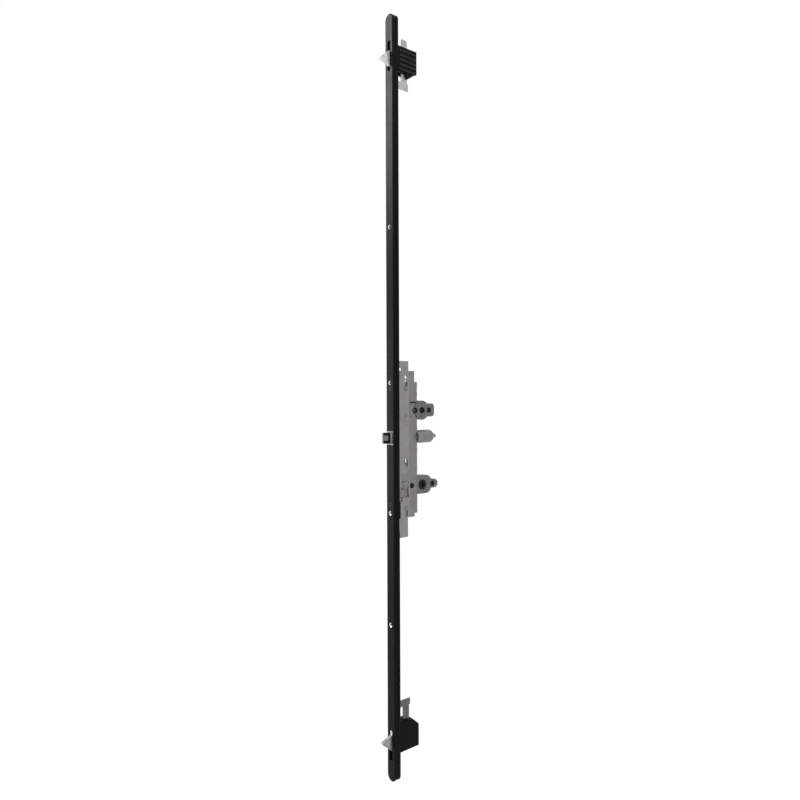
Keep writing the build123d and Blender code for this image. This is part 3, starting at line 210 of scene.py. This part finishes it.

# Colours are two that clouds mix and one for worn edges, which the ribbed plastic also uses for its painted
# highlight on the crown of each rib.
MATERIALS = {
    "black_channel": surface("black powder coat", (grey(0.0016), grey(0.0032), grey(0.05)), 0.0,
                             (0.34, 0.48), EVEN, 2600.0, 16.0, (0.22, 0.05), 0.30, specular=0.08),
    "case_steel": surface("plated case steel", (grey(0.205, -0.02), grey(0.245, -0.01), grey(0.42)), 1.0,
                          (0.36, 0.52), ALONG, 1500.0, 45.0, (0.10, 0.03), 0.5),
    "slide_steel": surface("rolled stainless steel", (grey(0.235, -0.02), grey(0.285, -0.01), grey(0.50)),
                           1.0, (0.30, 0.44), ALONG, 1800.0, 50.0, (0.12, 0.03), 0.5),
    "rod_steel": surface("drawn steel", (grey(0.24), grey(0.30), grey(0.5)), 1.0, (0.28, 0.44),
                         ALONG, 1600.0, 30.0, (0.12, 0.03), 0.5),
    "bright_steel": surface("bright steel", (grey(0.62), grey(0.72), grey(0.82)), 1.0, (0.10, 0.22),
                            EVEN, 900.0, 60.0, (0.03, 0.02), 0.4),
    "cast_metal": surface("satin die-cast", (grey(0.13, -0.01), grey(0.19), grey(0.34)), 1.0, (0.36, 0.55),
                          EVEN, 1100.0, 120.0, (0.25, 0.06), 0.6),
    "tube_metal": surface("satin tube", (grey(0.20, -0.01), grey(0.25), grey(0.4)), 1.0, (0.30, 0.44),
                          INTO, 1600.0, 60.0, (0.10, 0.03), 0.4),
    "spring_steel": surface("spring wire", (grey(0.25), grey(0.32), grey(0.5)), 1.0, (0.25, 0.4),
                            EVEN, 1500.0, 90.0, (0.08, 0.02), 0.2),
    "black_plastic": surface("moulded black", (grey(0.0022), grey(0.0040), grey(0.03)), 0.0, (0.42, 0.58),
                             EVEN, 3200.0, 70.0, (0.30, 0.05), 0.3, specular=0.08),
    # The rib tops of this plastic are lighter: a painted highlight for the lines of light along the ribs.
    "ribbed_plastic": surface("black ribs with painted highlight", (grey(0.0022), grey(0.0040), grey(0.035)), 0.0,
                              (0.34, 0.5), EVEN, 3200.0, 70.0, (0.30, 0.05), 0.5, specular=0.10,
                              crown_highlight=(10.4, 11.1, 0.9)),
    "inner_plastic": surface("moulded grey", (grey(0.03), grey(0.045), grey(0.1)), 0.0, (0.4, 0.55),
                             EVEN, 3000.0, 70.0, (0.25, 0.05), 0.3),
    "dark_screws": surface("blackened screws", (grey(0.02), grey(0.03), grey(0.15)), 1.0, (0.35, 0.5),
                           EVEN, 1500.0, 120.0, (0.12, 0.04), 0.6),
    "dark_hub": surface("blackened hub", (grey(0.018), grey(0.032), grey(0.16)), 1.0, (0.36, 0.52),
                        EVEN, 1200.0, 140.0, (0.18, 0.05), 0.6),
    # The two tongues are one metal: the top one's lighter colours are painted light and the bottom one's
    # darker colours are painted shade.
    "tongue_painted_light": surface("brushed metal of the tongue, painted light", (grey(0.62), grey(0.93), grey(0.30)), 0.4, (0.22, 0.44),
                              UPRIGHT, 1500.0, 240.0, (0.16, 0.03), 0.9),
    "tongue_painted_shade": surface("brushed metal of the tongue, painted shade", (grey(0.27), grey(0.48), grey(0.20)), 0.6, (0.24, 0.46),
                             UPRIGHT, 1500.0, 75.0, (0.16, 0.03), 0.6),
    # The two strips are one plated metal: the top one's lighter colours are painted light and the bottom
    # one's darker colours are painted shade.
    "strip_painted_light": surface("plated metal strip, painted light", (grey(0.38), grey(0.50), grey(0.6)), 1.0, (0.28, 0.42),
                           ALONG, 1600.0, 60.0, (0.12, 0.03), 0.5),
    "strip_painted_shade": surface("plated metal strip, painted shade", (grey(0.13, -0.02), grey(0.18, -0.02), grey(0.34)), 1.0,
                          (0.34, 0.5), ALONG, 1600.0, 60.0, (0.14, 0.03), 0.7),
    "satin_latch": surface("satin latch", (grey(0.075), grey(0.125), grey(0.28)), 1.0, (0.28, 0.42),
                           UPRIGHT, 1500.0, 90.0, (0.12, 0.03), 0.6),
    "satin_guide": surface("satin guide", (grey(0.13), grey(0.18), grey(0.30)), 1.0, (0.28, 0.42),
                           UPRIGHT, 1500.0, 90.0, (0.12, 0.03), 0.6),
}

# Nodes whose finish isn't that of their slot
FINISH_OF = {
    # The tongues get lit and shaded copies of one finish: painted light and painted shade.
    "handle_hub": "dark_hub", "deadbolt_hub": "dark_hub", "top_tongue": "tongue_painted_light",
    "bottom_tongue": "tongue_painted_shade", "case_screws": "dark_screws", "latch_bolt": "satin_latch",
    # The strips get lit and shaded copies of one finish: painted light and painted shade.
    "latch_guide": "satin_guide", "top_housing_right": "ribbed_plastic", "top_strip": "strip_painted_light",
    "bottom_strip": "strip_painted_shade",
}


# Edges of the CAD nodes

SLOT_OF = {row["node"]: row["material_slot"] for row in frame["record"]["subparts"]}
SHARP = math.radians(28)
FLAT = math.radians(0.5)
WELD_DISTANCE = 0.002 * MM
ROUNDING_STEPS = 2
EDGE_ROUNDING = {
    "black_channel": 0.5, "case_steel": 0.18, "slide_steel": 0.18, "rod_steel": 0.2, "bright_steel": 0.25,
    "cast_metal": 0.4, "tube_metal": 0.4, "black_plastic": 0.3, "inner_plastic": 0.2, "dark_screws": 0.25,
}
# The short arcs of this plate's windows would stop the rounding of all its edges.
UNCLAMPED = ("case_plate_left",)


def dress(name):
    """A node's finish, with its edges rounded by as much as the real piece's."""
    piece = frame["nodes"][name]
    slot = SLOT_OF[name]
    for place in piece.material_slots:
        place.material = MATERIALS[FINISH_OF.get(name, slot)]
    width = EDGE_ROUNDING.get(slot)
    if width is None:
        return
    weld = piece.modifiers.new("weld", "WELD")
    weld.merge_threshold = WELD_DISTANCE
    flatten = piece.modifiers.new("flatten", "DECIMATE")
    flatten.decimate_type = "DISSOLVE"
    flatten.angle_limit = FLAT
    bevel = piece.modifiers.new("edges", "BEVEL")
    bevel.width = width * MM
    bevel.segments = ROUNDING_STEPS
    bevel.limit_method = "ANGLE"
    bevel.angle_limit = SHARP
    bevel.use_clamp_overlap = name not in UNCLAMPED
    bevel.harden_normals = True


for name in frame["nodes"]:
    dress(name)


# Pieces that the construction doesn't carry, in millimetres

# The latch's bevel, seen from above, from its back to its tip
BEVEL_START = Vector((7.0, -0.6, 0.0))
BEVEL_END = Vector((-3.9, -12.7, 0.0))
LATCH_MIDDLE_Z = 90.0
# Columns of the facing are distances back from the tip, and rows are heights from the latch's middle.
FACING_COLUMNS = (0.2, 2.4, 9.2, 13.2)
FACING_ROWS = (-9.6, -4.4, 5.0, 9.6)
FACING_LIFT = 0.02
FACING_THICKNESS = 0.35
FACING_ROUND = 1.6
FACING_ROUND_STEPS = 5
# Countersunk holes of the door's screws
HOLE_HEIGHTS = (475.0, 190.5, -47.0, -251.0)
HOLE_RIM = (3.95, 2.42)
HOLE_DEPTH = 1.5
HOLE_STEPS = 48
RIM_SKIN = 0.06
# Rolled beads of the channel
BEAD_X = 10.8
BEAD_Y = 9.3
BEAD_HALF = (0.55, 1.7)
BEAD_ENDS = (-524.0, 852.0)
BEAD_STEPS = 24
# Blocks, each as two corners and its rounding
# Black block standing in for the shade in the gap over the deadbolt's arm
CASE_SHADE_BLOCK = ((-5.45, 42.5, 153.75), (5.45, 56.5, 158.0), 0.5)
WEAR_PLATE = ((-2.9, 0.35, -452.6), (2.9, 1.7, -443.6), 0.3)
BLOCK_ROUND_STEPS = 3
# Washer in the front of the latch's tube
CAP_DISTANCES = (58.1, 58.9)
CAP_RADII = (4.35, 10.6)
# Rims of the tongues' slots
SLOT_ENDS = ((760.0, 815.0), (-498.0, -443.0))
SLOT_RADIUS = 3.7
SLOT_RIM = 1.1
SLOT_PROUD = 0.35
SLOT_ROUNDING = 0.245
SLOT_ROUND_STEPS = 3
# Grommets of the bolt holes: the distance into the door, the height, and the face's distance across
GROMMETS = ((53.55, 139.7, 8.0), (86.15, 139.7, 8.0), (45.35, 0.0, 7.0), (94.35, 0.0, 8.0))
GROMMET_RADII = (3.02, 4.9)
GROMMET_HIGH = 0.3
RING_STEPS = 64


def new_piece(name, shape, body, slot, smooth=False):
    """Object made of a finished mesh, which rides a body and has a finish."""
    bmesh.ops.recalc_face_normals(shape, faces=shape.faces)
    for face in shape.faces:
        face.smooth = smooth
    for edge in shape.edges:
        edge.smooth = edge.calc_face_angle(0.0) < SHARP
    mesh = bpy.data.meshes.new(name)
    shape.to_mesh(mesh)
    shape.free()
    piece = bpy.data.objects.new(name, mesh)
    bpy.context.collection.objects.link(piece)
    mesh.materials.append(MATERIALS[slot])
    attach(piece, body)


def placed(x, y, z, angle=0.0, axis="X"):
    """Matrix that turns a shape about an axis and moves it to a place in millimetres."""
    return Matrix.Translation(Vector((x, y, z)) * MM) @ Matrix.Rotation(math.radians(angle), 4, axis)


def linked(verts, kind):
    """Edges or faces of some vertices, each one once."""
    return list({part for vert in verts for part in getattr(vert, kind)})


def new_verts(made):
    """Vertices among what an operator made."""
    return [part for part in made["geom"] if isinstance(part, bmesh.types.BMVert)]


def block(shape, low, high, rounding):
    """Box between two corners with rounded edges, added to a shape."""
    low, high = Vector(low) * MM, Vector(high) * MM
    place = Matrix.Translation((low + high) / 2) @ Matrix.Diagonal((*(high - low), 1.0))
    made = bmesh.ops.create_cube(shape, size=1.0, matrix=place)["verts"]
    bmesh.ops.bevel(shape, geom=linked(made, "link_edges"), offset=rounding * MM, segments=BLOCK_ROUND_STEPS,
                    profile=0.5, affect="EDGES", material=-1)


def flat_ring(shape, inner, outer):
    """Vertices of a flat ring between two radii round the Z axis."""
    made = bmesh.ops.create_circle(shape, cap_ends=False, segments=RING_STEPS, radius=inner * MM)["verts"]
    rim = new_verts(bmesh.ops.extrude_edge_only(shape, edges=linked(made, "link_edges")))
    bmesh.ops.scale(shape, verts=rim, vec=(outer / inner, outer / inner, 1.0))
    return made + rim


def raised(shape, verts, high):
    """Vertices of the top that a flat ring gets when it is given a height."""
    top = new_verts(bmesh.ops.extrude_face_region(shape, geom=linked(verts, "link_faces")))
    bmesh.ops.translate(shape, verts=top, vec=(0, 0, high * MM))
    return top


def ring(shape, inner, outer, high, place):
    """Ring of a height, made round the Z axis and then put in its place."""
    verts = flat_ring(shape, inner, outer)
    verts += raised(shape, verts, high)
    bmesh.ops.transform(shape, matrix=place, verts=verts)


def latch_facing():
    """Moulded low-friction facing on the latch's bevel, open at the side of its tip."""
    shape = bmesh.new()
    count = len(FACING_COLUMNS) - 1
    bmesh.ops.create_grid(shape, x_segments=count, y_segments=count, size=count / 2)
    for vert in shape.verts:
        column, row = round(vert.co.x + count / 2), round(vert.co.y + count / 2)
        vert.co = Vector((FACING_COLUMNS[column], FACING_ROWS[row], 0.0)) * MM
    opened = []
    for face in shape.faces:
        middle = face.calc_center_median() / MM
        if abs(middle.y) < FACING_ROWS[2] / 2 and middle.x < FACING_COLUMNS[2]:
            opened.append(face)
    bmesh.ops.delete(shape, geom=opened, context="FACES")
    corners = [vert for vert in shape.verts if len(vert.link_faces) in (1, 3)]
    bmesh.ops.bevel(shape, geom=corners, offset=FACING_ROUND * MM, segments=FACING_ROUND_STEPS, profile=0.5,
                    affect="VERTICES", material=-1)
    bmesh.ops.solidify(shape, geom=shape.faces[:], thickness=FACING_THICKNESS * MM)
    along = (BEVEL_END - BEVEL_START).normalized()
    outward = along.cross(Vector((0, 0, 1)))
    if outward.y > 0:
        outward = -outward
    low = min(vert.co.z for vert in shape.verts)
    for vert in shape.verts:
        place = BEVEL_END * MM - along * vert.co.x + outward * (vert.co.z - low + FACING_LIFT * MM)
        vert.co = place + Vector((0, 0, LATCH_MIDDLE_Z * MM + vert.co.y))
    new_piece("latch_facing", shape, "latch", "black_plastic")


def screw_hole_rims():
    """Bare metal in the countersinks of the door-screw holes."""
    shape = bmesh.new()
    for height in HOLE_HEIGHTS:
        bmesh.ops.create_cone(shape, cap_ends=False, segments=HOLE_STEPS, radius1=HOLE_RIM[0] * MM,
                              radius2=HOLE_RIM[1] * MM, depth=HOLE_DEPTH * MM,
                              matrix=placed(0, HOLE_DEPTH / 2, height, -90))
    bmesh.ops.recalc_face_normals(shape, faces=shape.faces)
    bmesh.ops.solidify(shape, geom=shape.faces[:], thickness=RIM_SKIN * MM)
    new_piece("screw_hole_rims", shape, "lock_frame", "bright_steel")


def channel_beads():
    """Low rolled bead along the back edge of each of the channel's sides."""
    shape = bmesh.new()
    low, high = BEAD_ENDS
    for side in (-1, 1):
        place = placed(side * BEAD_X, BEAD_Y, (low + high) / 2) @ Matrix.Diagonal((*BEAD_HALF, 1.0, 1.0))
        bmesh.ops.create_cone(shape, cap_ends=True, segments=BEAD_STEPS, radius1=MM, radius2=MM,
                              depth=(high - low) * MM, matrix=place)
    new_piece("channel_beads", shape, "lock_frame", "black_channel", smooth=True)


def case_shade_block():
    """Black block between the case plates, over the neck of the deadbolt's arm: a dark piece standing in for
    the shade in the gap there.
    """
    shape = bmesh.new()
    block(shape, *CASE_SHADE_BLOCK)
    new_piece("case_shade_block", shape, "lock_frame", "black_plastic")


def wear_plate():
    """Bright plate in the unused end of the bottom tongue's slot."""
    shape = bmesh.new()
    block(shape, *WEAR_PLATE)
    new_piece("bottom_wear_plate", shape, "lock_frame", "bright_steel")


def tube_cap():
    """Washer that closes the front of the latch's tube round the stem."""
    shape = bmesh.new()
    low, high = CAP_DISTANCES
    ring(shape, *CAP_RADII, high - low, placed(0, high, LATCH_MIDDLE_Z, 90))
    new_piece("tube_cap", shape, "lock_frame", "tube_metal")


def bolt_grommets():
    """Black grommets round the bolt holes, on both sides of the lock."""
    shape = bmesh.new()
    for y, z, x in GROMMETS:
        for side in (-1, 1):
            ring(shape, *GROMMET_RADII, GROMMET_HIGH, placed(side * x, y, z, side * 90, "Y"))
    new_piece("bolt_grommets", shape, "lock_frame", "black_plastic")


def slot_rims():
    """Raised rim round each tongue's slot in the faceplate."""
    shape = bmesh.new()
    for low, high in SLOT_ENDS:
        half = (high - low) / 2 - SLOT_RADIUS
        verts = flat_ring(shape, SLOT_RADIUS, SLOT_RADIUS + SLOT_RIM)
        for vert in verts:
            vert.co.y += math.copysign(half * MM, vert.co.y)
        top = raised(shape, verts, SLOT_PROUD)
        crown = [edge for edge in linked(top, "link_edges")
                 if set(edge.verts) <= set(top) and edge.calc_face_angle(0.0) > SHARP]
        bmesh.ops.transform(shape, matrix=placed(0, 0, (low + high) / 2, 90), verts=verts + top)
        bmesh.ops.bevel(shape, geom=crown, offset=SLOT_ROUNDING * MM, segments=SLOT_ROUND_STEPS, profile=0.5,
                        affect="EDGES", material=-1)
    new_piece("slot_rims", shape, "lock_frame", "black_plastic", smooth=True)


latch_facing()
screw_hole_rims()
channel_beads()
case_shade_block()
wear_plate()
tube_cap()
bolt_grommets()
slot_rims()


# Stage, light and camera, in metres

FLOOR_HALF = 30.0
FLOOR_GAP = 0.001
FLOOR_LEVEL = 0.8
FLOOR_GLOW = 1.06
FLOOR_GLOW_SHARE = 0.9
ROOM_LIGHT = 0.55
ROOM_WHITE = 1.0
SENSOR_WIDTH = 36.0
LENS = 29.5
CAMERA_SHIFT = -0.01
CAMERA_PLACE = (0.9537, -0.7218, 0.174)
CAMERA_AIM = Vector((-0.788, 0.6157, 0.0))
CAMERA_ROLL = math.radians(0.2)
# Lamps: place, point that it is aimed at, width and height, and power in watts
LAMPS = {
    "front_softbox": ((-1.7, -1.25, 1.75), (0, 0, 0.6), (1.0, 1.1), 38),
    "low_softbox": ((-1.7, -1.25, 0.0), (0, 0, 0.0), (1.0, 0.9), 8),
    "near_softbox": ((1.5, -1.6, 0.1), (0, 0, 0.1), (0.4, 1.0), 4),
    "side_softbox": ((1.6, -1.0, 2.2), (0, 0.05, 0.2), (1.0, 1.0), 10),
}


def stage_material():
    """Pale floor that the camera sees as white, with a little of the object's shadow."""
    made = bpy.data.materials.new("pale_floor")
    made.use_nodes = True
    tree = made.node_tree
    tree.nodes.clear()
    paint = add_node(tree, "ShaderNodeBsdfDiffuse", [("Color", grey(FLOOR_LEVEL))])
    glow = add_node(tree, "ShaderNodeEmission", [("Color", grey(1.0)), ("Strength", FLOOR_GLOW)])
    path = add_node(tree, "ShaderNodeLightPath")
    seen = combined(tree, "MAXIMUM", path.outputs["Is Camera Ray"], path.outputs["Is Glossy Ray"])
    share = combined(tree, "MULTIPLY", seen, FLOOR_GLOW_SHARE)
    both = add_node(tree, "ShaderNodeMixShader", [(0, share), (1, paint.outputs[0]), (2, glow.outputs[0])])
    add_node(tree, "ShaderNodeOutputMaterial", [("Surface", both.outputs[0])])
    return made


def make_floor():
    """Level floor under the lower end of the channel."""
    mesh = bpy.data.meshes.new("floor")
    plane = bmesh.new()
    bmesh.ops.create_grid(plane, x_segments=1, y_segments=1, size=FLOOR_HALF)
    bmesh.ops.translate(plane, verts=plane.verts, vec=(0, 0, cad_box[0][2] - FLOOR_GAP))
    plane.to_mesh(mesh)
    plane.free()
    floor = bpy.data.objects.new("floor", mesh)
    bpy.context.collection.objects.link(floor)
    floor.data.materials.append(stage_material())


def set_world():
    """White behind the object, and a plain grey light from all round."""
    world = bpy.data.worlds.new("studio")
    bpy.context.scene.world = world
    world.use_nodes = True
    tree = world.node_tree
    tree.nodes.clear()
    path = add_node(tree, "ShaderNodeLightPath")
    seen = combined(tree, "MAXIMUM", path.outputs["Is Camera Ray"], path.outputs["Is Glossy Ray"])
    seen = combined(tree, "MAXIMUM", seen, path.outputs["Is Transmission Ray"])
    light = add_node(tree, "ShaderNodeBackground", [("Color", grey(1.0)), ("Strength", ROOM_LIGHT)])
    white = add_node(tree, "ShaderNodeBackground", [("Color", grey(1.0)), ("Strength", ROOM_WHITE)])
    both = add_node(tree, "ShaderNodeMixShader", [(0, seen), (1, light.outputs[0]), (2, white.outputs[0])])
    add_node(tree, "ShaderNodeOutputWorld", [("Surface", both.outputs[0])])


def add_lamp(name, place, aim, size, power):
    """Soft lamp aimed at a point."""
    data = bpy.data.lights.new(name, "AREA")
    data.shape = "RECTANGLE"
    data.size, data.size_y = size
    data.energy = power
    lamp = bpy.data.objects.new(name, data)
    lamp.location = place
    lamp.rotation_mode = "QUATERNION"
    lamp.rotation_quaternion = (Vector(aim) - Vector(place)).to_track_quat("-Z", "Y")
    bpy.context.collection.objects.link(lamp)


def add_camera():
    """Level camera in front of the open side, at the photograph's distance."""
    data = bpy.data.cameras.new("camera")
    data.sensor_width = SENSOR_WIDTH
    data.lens = LENS
    data.shift_y = CAMERA_SHIFT
    camera = bpy.data.objects.new("camera", data)
    camera.location = CAMERA_PLACE
    camera.rotation_mode = "QUATERNION"
    roll = Matrix.Rotation(CAMERA_ROLL, 3, CAMERA_AIM).to_quaternion()
    camera.rotation_quaternion = roll @ CAMERA_AIM.to_track_quat("-Z", "Y")
    bpy.context.collection.objects.link(camera)
    bpy.context.scene.camera = camera


make_floor()
set_world()
for name, values in LAMPS.items():
    add_lamp(name, *values)
add_camera()
bpy.context.scene.view_settings.view_transform = "Standard"
